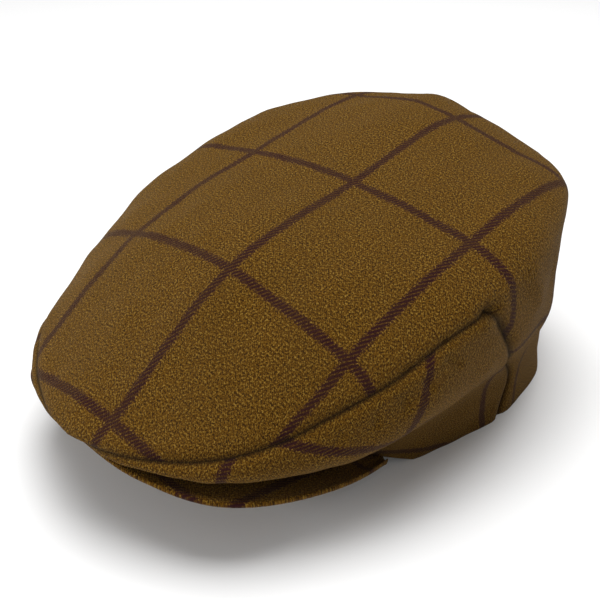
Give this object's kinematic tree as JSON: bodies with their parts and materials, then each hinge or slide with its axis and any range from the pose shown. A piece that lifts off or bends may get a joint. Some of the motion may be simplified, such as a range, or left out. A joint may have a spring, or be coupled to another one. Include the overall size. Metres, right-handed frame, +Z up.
{
  "type": "flat cap",
  "caption": "Flat cap of checked tweed: a soft crown that bulges over its tucked-in head opening, with a small stiff curved peak at the front.",
  "frame": {"origin": "under the middle of the cap's box, on the surface it rests on", "axes": "+Z up out of the crown, +Y towards the back of the head, -Y towards the peak, +X towards the wearer's left"},
  "size_m": [0.1958, 0.259, 0.1142],
  "materials": {
    "crown_top": "rough woollen tweed, olive brown with a maroon windowpane check",
    "side_panels": "rough woollen tweed, olive brown with a maroon windowpane check",
    "peak": "rough woollen tweed over a stiff board"
  },
  "bodies": {
    "root": {"crown_top": "crown_top", "side_panel_left": "side_panels", "side_panel_right": "side_panels", "peak": "peak"}
  },
  "joints": []
}
